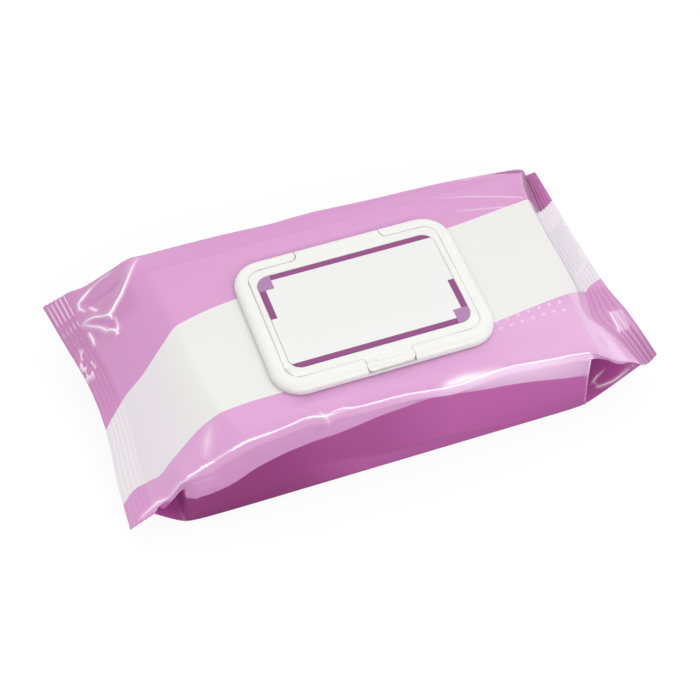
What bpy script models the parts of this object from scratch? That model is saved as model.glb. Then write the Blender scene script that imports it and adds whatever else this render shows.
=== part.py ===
"""Flow-wrapped pack of wet wipes, lying flat, with a moulded flip-top lid on its upper face.

The sealed film pouch is one lofted solid with tucked gussets and ribbed end seals. The lid is one
moulding skin, split along a parting outline into the frame that is glued to the film and the cover
that hinges on the frame's rear edge. Metres, +Z up, origin under the middle of the footprint.
"""

import math

import bmesh
import bpy
import numpy as np

MM = 0.001

# Sizes of the film pouch
BODY_LENGTH = 200 * MM
BODY_HEIGHT = 48 * MM
TOP_DEPTH = 119 * MM
TOP_LEAN = 3 * MM
FLOOR_DEPTH = 122 * MM
FLOOR_LEAN = -1 * MM
TOP_EDGE_RADIUS = 9 * MM
FLOOR_EDGE_RADIUS = 4.5 * MM
SHOULDER_LENGTH = 17 * MM
SLUMP_START = 68 * MM
SLUMP_REACH = 0.2
SLUMP_POWER = 1.5
GUSSET_DEPTH = 15 * MM
GUSSET_POWER = 1.3
EDGE_POWER = 1.4
FLOOR_LIFT_START = 0.45
FLOOR_LIFT_POWER = 1.2

# The end seals; three values run from the front corner over the middle to the back corner
SEAL_LENGTH = 12 * MM
SEAL_THICKNESS = 0.9 * MM
SEAL_RIBS = 5
RIB_HEIGHT = 0.3 * MM
LEFT_END = {
    "side": -1,
    "edges": (-59 * MM, 63 * MM),
    "reach": (25 * MM, 23.5 * MM, 32 * MM),
    "height": (12 * MM, 20 * MM, 24 * MM),
    "rise": (0 * MM, 2 * MM, 2 * MM),
    "fall": 1.5,
    "slump": 12 * MM,
}
RIGHT_END = {
    "side": 1,
    "edges": (-62 * MM, 64 * MM),
    "reach": (31 * MM, 26 * MM, 24 * MM),
    "height": (28 * MM, 27 * MM, 27 * MM),
    "rise": (1 * MM, 3 * MM, 6 * MM),
    "fall": 1.7,
    "slump": 5 * MM,
}

# Outer skin of the lid
LID_WIDTH = 107 * MM
LID_DEPTH = 79 * MM
LID_HEIGHT = 4.4 * MM
LID_CORNER = 14 * MM
LID_SHIFT_X = 5.6 * MM
LID_SHIFT_Y = -4 * MM
RIM_EDGE = 1.1 * MM
CROWN_RUN = 4.5 * MM
SEAT_GAP = 0.3 * MM
SEAT_BEYOND = 4 * MM

# Parting outline between the frame and the cover
RING_SIDE = 6.6 * MM
RING_END = 6.8 * MM
PARTING_CORNER = 7 * MM
PARTING_GAP = 0.4 * MM
DRAFT = 0.35 * MM
TAB_WIDTH = 23 * MM
TAB_INSET = 0.5 * MM
TAB_CORNER = 1.6 * MM
HINGE_WIDTH = 42.4 * MM
HINGE_FILLET = 3 * MM

# Frame floor, dispensing aperture and its rim
FLOOR_THICKNESS = 1.3 * MM
APERTURE_SIDE_MARGIN = 18.5 * MM
APERTURE_END_MARGIN = 19.5 * MM
APERTURE_CORNER = 14 * MM
RIM_WALL = 1.0 * MM
RIM_HEADROOM = 0.8 * MM
CATCH_WIDTH = 10 * MM
CATCH_DEPTH = 1.5 * MM
CATCH_HEIGHT = 0.7 * MM
CATCH_CLEARANCE = 0.95 * MM

# Cover
ROOF_THICKNESS = 1.3 * MM
ROOF_ROOT = 0.13 * MM
SKIRT_WALL = 1.0 * MM
SKIRT_CLEARANCE = 0.6 * MM
PLUG_WALL = 0.9 * MM
PLUG_CLEARANCE = 0.35 * MM
GRIP_WIDTH = 13 * MM
GRIP_DEPTH = 1.4 * MM
GRIP_HEIGHT = 0.45 * MM
GRIP_BACK = 4.8 * MM
GRIP_TURN = (-0.5, 1.25)

# Label
LABEL_SIDE_MARGIN = 9.9 * MM
LABEL_END_MARGIN = 11.9 * MM
LABEL_CORNER = 5.9 * MM
LABEL_THICKNESS = 0.25 * MM
LABEL_GAP = 0.3 * MM

# Peel-off patch
PEEL_SIDE_MARGIN = 5 * MM
PEEL_END_MARGIN = 4.5 * MM
PEEL_CORNER = 9 * MM
PEEL_THICKNESS = 0.3 * MM
PEEL_TONGUE_WIDTH = 14 * MM
PEEL_TONGUE_LENGTH = 3 * MM

# Mesh steps
ARC_STEPS = 6
CORNER_STEPS = 10
CROWN_STEPS = 6
PANEL_STEPS = 14
SIDE_STEPS = 6
BODY_STEPS = 12
FLAP_STEPS = 9

# Sizes that follow from the ones above
LID_FLOOR = BODY_HEIGHT + SEAT_GAP
HINGE_HEIGHT = FLOOR_THICKNESS + SKIRT_CLEARANCE / 2
RIM_HEIGHT = LID_HEIGHT - ROOF_THICKNESS - FLOOR_THICKNESS - RIM_HEADROOM
APERTURE_WIDTH = LID_WIDTH - 2 * APERTURE_SIDE_MARGIN
APERTURE_DEPTH = LID_DEPTH - 2 * APERTURE_END_MARGIN
LABEL_WIDTH = LID_WIDTH - 2 * LABEL_SIDE_MARGIN
LABEL_DEPTH = LID_DEPTH - 2 * LABEL_END_MARGIN
PEEL_WIDTH = APERTURE_WIDTH - 2 * PEEL_SIDE_MARGIN
PEEL_DEPTH = APERTURE_DEPTH - 2 * PEEL_END_MARGIN


def clear_scene():
    """Remove every object that the file starts with."""
    for item in list(bpy.data.objects):
        bpy.data.objects.remove(item, do_unlink=True)


def plain_material(name, colour, roughness):
    """A Principled material of one colour."""
    material = bpy.data.materials.new(name)
    material.use_nodes = True
    shader = material.node_tree.nodes["Principled BSDF"]
    shader.inputs["Base Color"].default_value = (*colour, 1)
    shader.inputs["Roughness"].default_value = roughness
    shader.inputs["Metallic"].default_value = 0
    return material


def add_object(name, rings, closed_lengthwise=False):
    """A mesh object lofted through rings of equal length, capped at both ends or joined end to start."""
    rings = [np.asarray(ring) for ring in rings]
    count = len(rings[0])
    mesh = bpy.data.meshes.new(name)
    build = bmesh.new()
    loops = [[build.verts.new(point) for point in ring] for ring in rings]
    pairs = list(zip(loops, loops[1:]))
    if closed_lengthwise:
        pairs.append((loops[-1], loops[0]))
    for low, high in pairs:
        for index in range(count):
            after = (index + 1) % count
            build.faces.new((low[index], low[after], high[after], high[index]))
    if not closed_lengthwise:
        build.faces.new(loops[0][::-1])
        build.faces.new(loops[-1])
    bmesh.ops.recalc_face_normals(build, faces=build.faces)
    build.to_mesh(mesh)
    build.free()
    item = bpy.data.objects.new(name, mesh)
    bpy.context.scene.collection.objects.link(item)
    return item


def combine(target, other, operation):
    """Apply an exact Boolean to the target and delete the other object."""
    modifier = target.modifiers.new(operation.title(), "BOOLEAN")
    modifier.operation = operation
    modifier.solver = "EXACT"
    modifier.object = other
    graph = bpy.context.evaluated_depsgraph_get()
    result = bpy.data.meshes.new_from_object(target.evaluated_get(graph))
    target.modifiers.clear()
    target.data = result
    bpy.data.objects.remove(other, do_unlink=True)


def finish(item, material, edge_angle=35):
    """Give a solid its material and shade its round surfaces smooth."""
    item.data.materials.clear()
    item.data.materials.append(material)
    item.data.shade_smooth()
    item.data.set_sharp_from_angle(angle=math.radians(edge_angle))


# Plan outlines, in the lid's own plane


def filleted(corners, steps):
    """Points of a polygon whose corners, given as (x, y, radius), are rounded by arcs."""
    points = []
    total = len(corners)
    for index, (x, y, radius) in enumerate(corners):
        here = np.array((x, y))
        before = np.array(corners[index - 1][:2]) - here
        after = np.array(corners[(index + 1) % total][:2]) - here
        before = before / np.linalg.norm(before)
        after = after / np.linalg.norm(after)
        half = math.acos(float(np.clip(before @ after, -1, 1))) / 2
        centre = here + (before + after) / np.linalg.norm(before + after) * radius / math.sin(half)
        start = here + before * radius / math.tan(half) - centre
        end = here + after * radius / math.tan(half) - centre
        sweep = math.atan2(start[0] * end[1] - start[1] * end[0], start @ end)
        for turn in np.linspace(0, sweep, steps + 1):
            cos, sin = math.cos(turn), math.sin(turn)
            points.append(centre + (start[0] * cos - start[1] * sin, start[0] * sin + start[1] * cos))
    return np.array(points)


def rounded_rectangle(width, depth, radius, steps=CORNER_STEPS):
    """A centred rectangle with four equal rounded corners, counter-clockwise."""
    x, y = width / 2, depth / 2
    radius = min(radius, 0.98 * x, 0.98 * y)
    return filleted([(-x, -y, radius), (x, -y, radius), (x, y, radius), (-x, y, radius)], steps)


def parting_outline(inset, tab_front, hinge_back, tab_radius):
    """The cover's plan: a rounded rectangle with a tab at the front and a hinge tongue at the back."""
    side = LID_WIDTH / 2 - RING_SIDE - inset
    end = LID_DEPTH / 2 - RING_END - inset
    tab = TAB_WIDTH / 2 - inset
    hinge = HINGE_WIDTH / 2 - inset
    corner = PARTING_CORNER - inset
    hollow = TAB_CORNER / 2 + inset
    fillet = HINGE_FILLET + inset
    corners = [
        (-tab, -tab_front, tab_radius),
        (tab, -tab_front, tab_radius),
        (tab, -end, hollow),
        (side, -end, corner),
        (side, end, corner),
        (hinge, end, fillet),
        (hinge, hinge_back, tab_radius),
        (-hinge, hinge_back, tab_radius),
        (-hinge, end, fillet),
        (-side, end, corner),
        (-side, -end, corner),
        (-tab, -end, hollow),
    ]
    return filleted(corners, ARC_STEPS)


def lift(outline, height):
    """A plan outline placed on the lid's centre, at a height above the frame's underside."""
    points = np.empty((len(outline), 3))
    points[:, 0] = outline[:, 0] + LID_SHIFT_X
    points[:, 1] = outline[:, 1] + LID_SHIFT_Y
    points[:, 2] = LID_FLOOR + height
    return points


def crown_solid(name, wall):
    """The lid's outer skin as a solid: an upright edge, a quarter-ellipse crown and a flat top.

    A wall above zero gives the same form shrunk by that wall, as the core of a hollow shell.
    """

    def ring(inset, height):
        inset = inset + wall
        outline = rounded_rectangle(LID_WIDTH - 2 * inset, LID_DEPTH - 2 * inset, LID_CORNER - inset)
        return lift(outline, height - wall)

    rings = [ring(0, 0)]
    for turn in np.linspace(0, math.pi / 2, CROWN_STEPS + 1):
        rise = (LID_HEIGHT - RIM_EDGE) * math.sin(turn)
        rings.append(ring(CROWN_RUN * (1 - math.cos(turn)), RIM_EDGE + rise))
    return add_object(name, rings)


# Film pouch


def between(values, position):
    """Smooth curve through a front, a middle and a back value, at positions from -1 to 1."""
    front, middle, back = values
    return middle + (back - front) / 2 * position + ((front + back) / 2 - middle) * position**2


def section_plan():
    """The points of a cross-section as (run, share): which run each is on and how far along it lies.

    The runs go round from the top panel to the back wall, the floor panel and the front wall.
    """
    arc = list(np.arange(1, ARC_STEPS) / ARC_STEPS)
    wall = list(np.linspace(0, 1, SIDE_STEPS + 1))
    panel = list(np.linspace(-1, 1, PANEL_STEPS + 1))
    runs = [
        ("top", panel),
        ("top_back", arc),
        ("back", wall),
        ("floor_back", arc),
        ("floor", panel[::-1]),
        ("floor_front", arc[::-1]),
        ("front", wall[::-1]),
        ("top_front", arc[::-1]),
    ]
    return [(run, share) for run, shares in runs for share in shares]


def section_point(run, share, top, floor, radii, gusset):
    """(y, height) of one point of a cross-section as high as the body.

    The top and the floor panel each run between a front and a back edge, and the walls join them.
    """
    back = 0 if run.endswith("front") else 1
    out = 2 * back - 1
    top_radius, floor_radius = radii
    turn = share * math.pi / 2
    if run == "top":
        middle, half = (top[0] + top[1]) / 2, (top[1] - top[0]) / 2 - top_radius
        return middle + share * half, BODY_HEIGHT
    if run == "floor":
        middle, half = (floor[0] + floor[1]) / 2, (floor[1] - floor[0]) / 2 - floor_radius
        return middle + share * half, 0.0
    if run.startswith("top"):
        y = top[back] - out * top_radius * (1 - math.sin(turn))
        return y, BODY_HEIGHT - top_radius * (1 - math.cos(turn))
    if run.startswith("floor"):
        y = floor[back] - out * floor_radius * (1 - math.cos(turn))
        return y, floor_radius * (1 - math.sin(turn))
    tuck = gusset * (1 - abs(2 * share - 1))
    upper, lower = BODY_HEIGHT - top_radius, floor_radius
    return top[back] + (floor[back] - top[back]) * share - out * tuck, upper + (lower - upper) * share


def toward(start, goal, share):
    """The pair of values a share of the way from one pair to another."""
    return [first + (last - first) * share for first, last in zip(start, goal)]


def station(distance, end):
    """One cross-section ring, at a distance from the shoulder to the outer edge of an end seal.

    Distance 0 is the shoulder and 1 the inner edge of the seal; past 1 it counts seal lengths.
    """
    share = min(distance, 1.0)
    across = max(distance - 1.0, 0.0)
    floor_rise = max(0.0, (share - FLOOR_LIFT_START) / (1 - FLOOR_LIFT_START)) ** FLOOR_LIFT_POWER
    top_panel = (TOP_LEAN - TOP_DEPTH / 2, TOP_LEAN + TOP_DEPTH / 2)
    floor_panel = (FLOOR_LEAN - FLOOR_DEPTH / 2, FLOOR_LEAN + FLOOR_DEPTH / 2)
    least = SEAL_THICKNESS / 3
    radii = toward((TOP_EDGE_RADIUS, FLOOR_EDGE_RADIUS), (least, least), 1 - (1 - share) ** EDGE_POWER)
    gusset = GUSSET_DEPTH * math.sin(math.pi * share) ** GUSSET_POWER
    top = toward(top_panel, end["edges"], share)
    floor = toward(floor_panel, end["edges"], share)
    shoulder = BODY_LENGTH / 2 - SHOULDER_LENGTH
    rib = RIB_HEIGHT / 2 * (1 if round(across * 2 * SEAL_RIBS) % 2 else -1) if across else 0.0
    points = []
    for run, along in section_plan():
        y, height = section_point(run, along, top, floor, radii, gusset)
        middle = (end["edges"][0] + end["edges"][1]) / 2
        place = (y - middle) / (end["edges"][1] - middle)
        seal_z = between(end["height"], place) + between(end["rise"], place) * (1 - across)
        seal_x = BODY_LENGTH / 2 + between(end["reach"], place) - SEAL_LENGTH
        x = shoulder + (seal_x - shoulder) * share + SEAL_LENGTH * across
        level = height / BODY_HEIGHT
        high = BODY_HEIGHT + (seal_z + SEAL_THICKNESS / 2 - BODY_HEIGHT) * share ** end["fall"]
        low = (seal_z - SEAL_THICKNESS / 2) * floor_rise
        sag = slump(x, y, end) * level * (1 - share)
        points.append((end["side"] * x, y, low + (high - low) * level + rib - sag))
    return points


def slump(x, y, end):
    """How far the upper film sags towards a front corner, where nothing fills it."""
    lengthwise = max(0.0, x - SLUMP_START) / (BODY_LENGTH / 2 - SLUMP_START)
    frontwards = max(0.0, SLUMP_REACH - 2 * y / TOP_DEPTH) / (1 + SLUMP_REACH)
    return end["slump"] * (lengthwise * frontwards) ** SLUMP_POWER


def film_pouch():
    """The sealed pouch with its contents, lofted from one end seal to the other."""
    seal_shares = [1 + index / (2 * SEAL_RIBS) for index in range(2 * SEAL_RIBS, 0, -1)]
    shares = seal_shares + list(np.linspace(1, 0, FLAP_STEPS + 1))
    left = [station(share, LEFT_END) for share in shares]
    right = [station(share, RIGHT_END) for share in shares[::-1]]
    plain = np.array(station(0.0, {**RIGHT_END, "slump": 0.0}))
    shoulder = BODY_LENGTH / 2 - SHOULDER_LENGTH
    middle = []
    for x in np.linspace(-shoulder, shoulder, BODY_STEPS + 1)[1:-1]:
        end = LEFT_END if x < 0 else RIGHT_END
        ring = plain.copy()
        ring[:, 0] = x
        ring[:, 2] -= [slump(abs(x), y, end) * z / BODY_HEIGHT for y, z in plain[:, 1:]]
        middle.append(ring)
    pouch = add_object("film_pouch", left + middle + right)
    finish(pouch, plain_material("printed_film", (0.72, 0.38, 0.66), 0.25), 50)
    return pouch


# Lid


def lid_frame():
    """The glued frame: the outer skin, less the cover's seat and the aperture, plus rim and catch."""
    frame = crown_solid("lid_frame", 0)
    beyond = LID_DEPTH / 2 + SEAT_BEYOND
    seat = parting_outline(0, beyond, beyond, TAB_CORNER / 2)
    cutter = add_object("seat_cutter", [lift(seat, FLOOR_THICKNESS), lift(seat, 2 * LID_HEIGHT)])
    combine(frame, cutter, "DIFFERENCE")
    rim_outer = rounded_rectangle(
        APERTURE_WIDTH + 2 * RIM_WALL, APERTURE_DEPTH + 2 * RIM_WALL, APERTURE_CORNER + RIM_WALL
    )
    rim = add_object(
        "rim", [lift(rim_outer, FLOOR_THICKNESS / 2), lift(rim_outer, FLOOR_THICKNESS + RIM_HEIGHT)]
    )
    combine(frame, rim, "UNION")
    aperture = rounded_rectangle(APERTURE_WIDTH, APERTURE_DEPTH, APERTURE_CORNER)
    hole = add_object("hole", [lift(aperture, -LID_HEIGHT), lift(aperture, LID_HEIGHT)])
    combine(frame, hole, "DIFFERENCE")
    combine(frame, catch_wedge(), "UNION")
    finish(frame, plain_material("moulded_polypropylene_frame", (0.88, 0.88, 0.87), 0.35))
    return frame


def hollow_inset(height):
    """How far inside the lid's edge the cover's hollow underside begins, at a height."""
    rise = (height + ROOF_THICKNESS - RIM_EDGE) / (LID_HEIGHT - RIM_EDGE)
    return ROOF_THICKNESS + CROWN_RUN * (1 - math.cos(math.asin(min(rise, 1.0))))


def catch_wedge():
    """The low wedge on the frame's floor that the tab snaps over, rooted below the floor's face."""
    root = -FLOOR_THICKNESS / 3
    profile = [(0, root), (0, CATCH_HEIGHT), (CATCH_DEPTH / 3, CATCH_HEIGHT), (CATCH_DEPTH, root)]
    y = hollow_inset(FLOOR_THICKNESS + CATCH_HEIGHT) + CATCH_CLEARANCE - LID_DEPTH / 2
    rings = []
    for x in (-CATCH_WIDTH / 2, CATCH_WIDTH / 2):
        outline = np.array([(x, y + across) for across, _ in profile])
        ring = lift(outline, FLOOR_THICKNESS)
        ring[:, 2] += [rise for _, rise in profile]
        rings.append(ring)
    return add_object("catch", rings)


def lid_cover():
    """The hinged cover: skin inside the parting outline, hollowed from below, with plug ring and grip."""
    cover = crown_solid("lid_cover", 0)
    tab_front = LID_DEPTH / 2 - TAB_INSET
    hinge_back = LID_DEPTH / 2
    skirt_foot = FLOOR_THICKNESS + SKIRT_CLEARANCE
    low = parting_outline(PARTING_GAP + DRAFT, tab_front - DRAFT, hinge_back + TAB_INSET, TAB_CORNER)
    high = parting_outline(PARTING_GAP, tab_front, hinge_back + TAB_INSET, TAB_CORNER)
    block = add_object("block", [lift(low, skirt_foot), lift(high, LID_HEIGHT), lift(high, 2 * LID_HEIGHT)])
    combine(cover, block, "INTERSECT")
    hollow = crown_solid("hollow", ROOF_THICKNESS)
    inset = PARTING_GAP + DRAFT + SKIRT_WALL
    inside = parting_outline(inset, tab_front - SKIRT_WALL, hinge_back - SKIRT_WALL, TAB_CORNER)
    core = add_object("core", [lift(inside, -2 * LID_HEIGHT), lift(inside, 2 * LID_HEIGHT)])
    combine(hollow, core, "INTERSECT")
    combine(cover, hollow, "DIFFERENCE")
    plug_inset = RIM_WALL + PLUG_CLEARANCE
    roof = LID_HEIGHT - ROOF_THICKNESS + ROOF_ROOT
    outer = rounded_rectangle(
        APERTURE_WIDTH + 2 * (plug_inset + PLUG_WALL),
        APERTURE_DEPTH + 2 * (plug_inset + PLUG_WALL),
        APERTURE_CORNER + plug_inset + PLUG_WALL,
    )
    inner = rounded_rectangle(
        APERTURE_WIDTH + 2 * plug_inset, APERTURE_DEPTH + 2 * plug_inset, APERTURE_CORNER + plug_inset
    )
    section = [(outer, skirt_foot), (outer, roof), (inner, roof), (inner, skirt_foot)]
    plug = add_object("plug", [lift(outline, height) for outline, height in section], True)
    combine(cover, plug, "UNION")
    recess = rounded_rectangle(
        LABEL_WIDTH + 2 * LABEL_GAP, LABEL_DEPTH + 2 * LABEL_GAP, LABEL_CORNER + LABEL_GAP
    )
    recess_floor = LID_HEIGHT - LABEL_THICKNESS - LABEL_GAP
    pocket = add_object("pocket", [lift(recess, recess_floor), lift(recess, 2 * LID_HEIGHT)])
    combine(cover, pocket, "DIFFERENCE")
    combine(cover, grip_ridge(), "UNION")
    finish(cover, plain_material("moulded_polypropylene_cover", (0.9, 0.9, 0.89), 0.35))
    return cover


def grip_ridge():
    """A low bar on the tab, with a half-elliptic section and rounded ends, for the thumb."""
    rings = []
    for turn in np.linspace(*GRIP_TURN, ARC_STEPS):
        inset = GRIP_DEPTH / 2 * (1 - math.cos(turn))
        depth = GRIP_DEPTH - 2 * inset
        outline = rounded_rectangle(GRIP_WIDTH - 2 * inset, depth, depth / 2, ARC_STEPS)
        outline[:, 1] += GRIP_BACK - LID_DEPTH / 2
        rings.append(lift(outline, LID_HEIGHT + GRIP_HEIGHT * math.sin(turn)))
    return add_object("ridge", rings)


def lid_label():
    """The printed card in the cover's recess."""
    outline = rounded_rectangle(LABEL_WIDTH, LABEL_DEPTH, LABEL_CORNER)
    label = add_object("lid_label", [lift(outline, LID_HEIGHT - LABEL_THICKNESS), lift(outline, LID_HEIGHT)])
    finish(label, plain_material("printed_card", (0.87, 0.87, 0.86), 0.4))
    return label


def peel_seal():
    """The peel-off patch that closes the cut-out in the film, with a tongue to pull."""
    x, y = PEEL_WIDTH / 2, PEEL_DEPTH / 2
    tongue = PEEL_TONGUE_WIDTH / 2
    tip = y + PEEL_TONGUE_LENGTH
    corners = [
        (-tongue, -tip, PEEL_TONGUE_LENGTH / 2),
        (tongue, -tip, PEEL_TONGUE_LENGTH / 2),
        (tongue, -y, PEEL_TONGUE_LENGTH / 3),
        (x, -y, PEEL_CORNER),
        (x, y, PEEL_CORNER),
        (-x, y, PEEL_CORNER),
        (-x, -y, PEEL_CORNER),
        (-tongue, -y, PEEL_TONGUE_LENGTH / 3),
    ]
    outline = filleted(corners, ARC_STEPS)
    patch = add_object("peel_seal", [lift(outline, 0), lift(outline, PEEL_THICKNESS)])
    finish(patch, plain_material("peel_off_foil", (0.8, 0.8, 0.82), 0.3))
    return patch


def centre_footprint(items):
    """Move the whole pack so that the origin lies under the middle of its bounding box."""
    corners = np.array([vertex.co[:] for item in items for vertex in item.data.vertices])
    low, high = corners.min(axis=0), corners.max(axis=0)
    shift = (-(low[0] + high[0]) / 2, -(low[1] + high[1]) / 2, -low[2])
    for item in items:
        for vertex in item.data.vertices:
            vertex.co = [value + move for value, move in zip(vertex.co, shift)]
    return shift


def hang_on_hinge(items, shift):
    """Parent the cover and what it carries to an empty on the hinge line."""
    hinge = bpy.data.objects.new("lid_hinge", None)
    bpy.context.scene.collection.objects.link(hinge)
    hinge.location = (
        LID_SHIFT_X + shift[0],
        LID_SHIFT_Y + LID_DEPTH / 2 + shift[1],
        LID_FLOOR + HINGE_HEIGHT + shift[2],
    )
    for item in items:
        for vertex in item.data.vertices:
            vertex.co -= hinge.location
        item.parent = hinge


clear_scene()
pouch = film_pouch()
frame = lid_frame()
cover = lid_cover()
label = lid_label()
patch = peel_seal()
moved = centre_footprint([pouch, frame, cover, label, patch])
hang_on_hinge([cover, label], moved)
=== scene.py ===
import math

import bmesh
import bpy
import numpy as np
from mathutils import Matrix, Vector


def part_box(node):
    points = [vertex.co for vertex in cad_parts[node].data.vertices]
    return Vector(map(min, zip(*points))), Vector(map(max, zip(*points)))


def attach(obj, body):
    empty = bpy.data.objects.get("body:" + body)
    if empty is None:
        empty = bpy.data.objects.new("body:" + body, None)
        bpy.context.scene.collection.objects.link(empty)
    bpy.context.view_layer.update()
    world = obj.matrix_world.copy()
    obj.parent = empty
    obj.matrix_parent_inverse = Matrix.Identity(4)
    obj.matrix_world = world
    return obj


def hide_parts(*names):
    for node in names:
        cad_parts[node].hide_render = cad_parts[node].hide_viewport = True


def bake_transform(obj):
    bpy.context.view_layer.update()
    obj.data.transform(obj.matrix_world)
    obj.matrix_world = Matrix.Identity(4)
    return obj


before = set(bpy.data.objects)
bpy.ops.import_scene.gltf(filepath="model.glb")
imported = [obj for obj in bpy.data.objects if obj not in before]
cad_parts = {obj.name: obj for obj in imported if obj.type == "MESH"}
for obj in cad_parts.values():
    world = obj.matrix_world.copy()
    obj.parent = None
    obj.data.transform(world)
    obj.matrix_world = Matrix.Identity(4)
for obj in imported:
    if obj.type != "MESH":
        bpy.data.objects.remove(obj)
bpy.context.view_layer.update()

# The film bag
# A tube of glossy printed laminate, folded in at both sides and welded across both ends, lies round
# a stack of wet sheets. The stack holds the upper film flat, and the slack at the ends makes folds.

MM = 0.001
BODY_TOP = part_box("film_pouch")[1][2] / MM

# Corners of the bag's section, as y, z and fillet radius: the front crease, the top, the back wall,
# the floor, and the front wall with the knee in it. A place on the section is told as a corner's
# number, plus a fraction on the run that follows the corner.
CREASE, TOP_FRONT, TOP_BACK, BACK_CREASE, BACK_TUCK, BACK_FLOOR, FRONT_FLOOR, FRONT_TUCK, KNEE = range(9)
SECTION = np.array((
    (-57.0, 45.5, 7.0), (-41.0, BODY_TOP, 45.0), (50.0, BODY_TOP, 20.0), (60.0, 45.5, 1.6),
    (62.6, 24.0, 2.0), (60.2, 0.0, 4.0), (-62.4, 0.0, 3.0), (-62.6, 14.0, 2.0), (-61.8, 33.0, 3.0),
))
ARC_STEPS = (6, 6, 6, 6, 4, 6, 6, 4, 4)
RUN_STEPS = (18, 146, 20, 18, 18, 12, 38, 20, 18)
FLAP_ROWS = 64
SEAL_ROWS = 34
BODY_ROWS = 76

TUCK_DEPTH = 23.0
TUCK_RUN = 0.25
TUCK_MOUTH = 0.06
FILM = 0.5
SEAL_RIBS = 5
RIB_HEIGHT = 0.26
FLOOR_SHARPNESS = 5.0

# How the long creases wander along the bag, as x, y and z
CREASE_RAIL = np.array((
    (-118, -60.0, 13.0), (-111, -59.2, 16.6), (-104, -58.6, 22.5), (-97, -58.0, 30.4),
    (-90, -57.6, 33.4), (-82, -57.4, 36.6), (-74.2, -57.2, 41.0), (-67, -56.9, 44.0),
    (-55, -56.6, 45.5), (-46, -56.2, 46.6), (-36.5, -55.8, 47.0),
    (-30, -56.0, 47.0), (-14, -56.6, 45.9), (7.8, -57.9, 46.7), (24.8, -59.1, 45.0), (31.6, -58.8, 44.0),
    (43.7, -57.8, 43.9), (55.4, -57.6, 44.7), (68.4, -58.0, 43.4), (80, -58.6, 42.2), (88, -59.2, 41.4),
    (94, -59.8, 40.7), (99.7, -60.4, 39.2), (103, -60.6, 37.0), (111.4, -61.2, 30.3), (122, -62.0, 24.5),
))
KNEE_RAIL = np.array((
    (-98.5, -62.3, 18.2), (-93.8, -62.2, 18.6), (-78.8, -62.0, 21.1), (-66.6, -61.3, 26.9),
    (-52.2, -60.6, 31.5), (-37.4, -60.0, 33.9), (-22.7, -59.8, 35.2), (-6.5, -59.6, 38.1),
    (6.8, -59.8, 39.9), (22.9, -60.0, 40.7), (44.6, -60.1, 36.0), (61.3, -60.6, 33.2),
    (85.1, -61.9, 28.6), (96.3, -62.4, 25.4),
))
BACK_RAIL = np.array((
    (-120, 63.0, 25.0), (-117, 63.0, 26.6), (-111, 63.0, 29.8), (-106, 62.7, 32.9), (-100, 62.2, 36.7),
    (-95, 61.6, 40.2), (-90, 60.8, 43.9), (-86, 60.7, 45.2), (-80, 60.7, 45.0), (-76, 60.7, 45.1),
    (-42, 59.1, 46.6), (-15, 58.0, 46.8), (-4, 58.5, 46.8), (4, 58.4, 46.8), (29, 57.0, 46.8),
    (71, 55.5, 46.6), (88, 54.5, 46.1), (100, 53.6, 45.6), (107, 53.3, 44.8), (110.5, 53.6, 43.0),
    (113.5, 55.0, 38.0), (116, 58.0, 30.0),
))

# How far the loose flap's lower edge hangs below the front crease, as x and depth
LIP = np.array((
    (-118, 1.5), (-113, 3), (-107, 4.2), (-104, 4), (-99.5, 5), (-96.5, 6.5), (-91, 5), (-80, 4),
    (80, 2), (92, 1.2), (98, 0.5), (110, 0.3), (120, 0.6),
))
LIP_BEYOND = 0.4

# Both ends, as values from the front corner to the back one: the weld's outer and inner edges, and
# the edge over which the upper film bends down to it. The tuck starts at a share of the way out.
LEFT = {
    "side": -1,
    "y": (-61.0, -39.0, -11.0, 14.0, 39.0, 63.0),
    "outer_x": (124.2, 123.4, 121.0, 122.0, 126.6, 131.5),
    "outer_z": (8.5, 12.0, 16.0, 18.0, 20.0, 24.0),
    "inner_x": (112.5, 112.4, 111.4, 112.4, 117.2, 120.4),
    "inner_z": (15.5, 18.5, 22.5, 25.5, 28.0, 28.5),
    "start_x": (66.0, 74.0, 78.0, 78.0, 80.0, 80.0),
    "start_z": (47.6, 48.0, 48.0, 48.0, 48.0, 48.0),
    "edge_x": (95.0, 92.5, 90.5, 90.0, 91.5, 93.0),
    "edge_z": (36.0, 40.5, 43.5, 44.5, 46.0, 47.2),
    "sharpness": (1.0, 1.0, 1.0, 1.0, 1.2, 1.6),
    "curl": (0.0, 0.0, 0.0, 0.0, 0.0, 0.0),
    "floor_x": 99.0,
    "tuck_start": 0.58,
}
RIGHT = {
    "side": 1,
    "y": (-62.0, -42.5, -35.0, -20.0, 10.0, 38.0, 57.0, 64.0),
    "outer_x": (131.6, 130.1, 129.4, 126.7, 124.8, 124.2, 124.1, 124.2),
    "outer_z": (26.5, 27.0, 27.0, 27.0, 27.0, 27.0, 26.6, 26.0),
    "inner_x": (124.2, 117.2, 113.0, 114.0, 113.0, 113.6, 116.5, 117.6),
    "inner_z": (22.0, 25.0, 26.6, 29.0, 30.0, 30.0, 27.0, 25.0),
    "start_x": (80.0, 84.0, 85.4, 88.0, 90.0, 90.0, 90.0, 90.0),
    "start_z": (48.0, 48.0, 48.0, 48.0, 48.0, 48.0, 48.0, 48.0),
    "edge_x": (100.0, 102.0, 102.8, 104.2, 104.0, 105.4, 112.0, 113.5),
    "edge_z": (43.5, 45.0, 45.7, 46.8, 47.3, 47.3, 43.0, 40.0),
    "sharpness": (1.0, 1.0, 1.25, 2.2, 5.0, 6.0, 5.0, 4.0),
    "curl": (3.0, 1.0, 0.6, 0.0, 0.0, 0.0, 0.0, 0.0),
    "floor_x": 97.5,
    "tuck_start": 0.42,
}


def eased(share):
    """A share from 0 to 1 that leaves and arrives level: 3 s squared less 2 s cubed."""
    share = np.clip(share, 0, 1)
    return share**2 * (3 - 2 * share)


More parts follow.
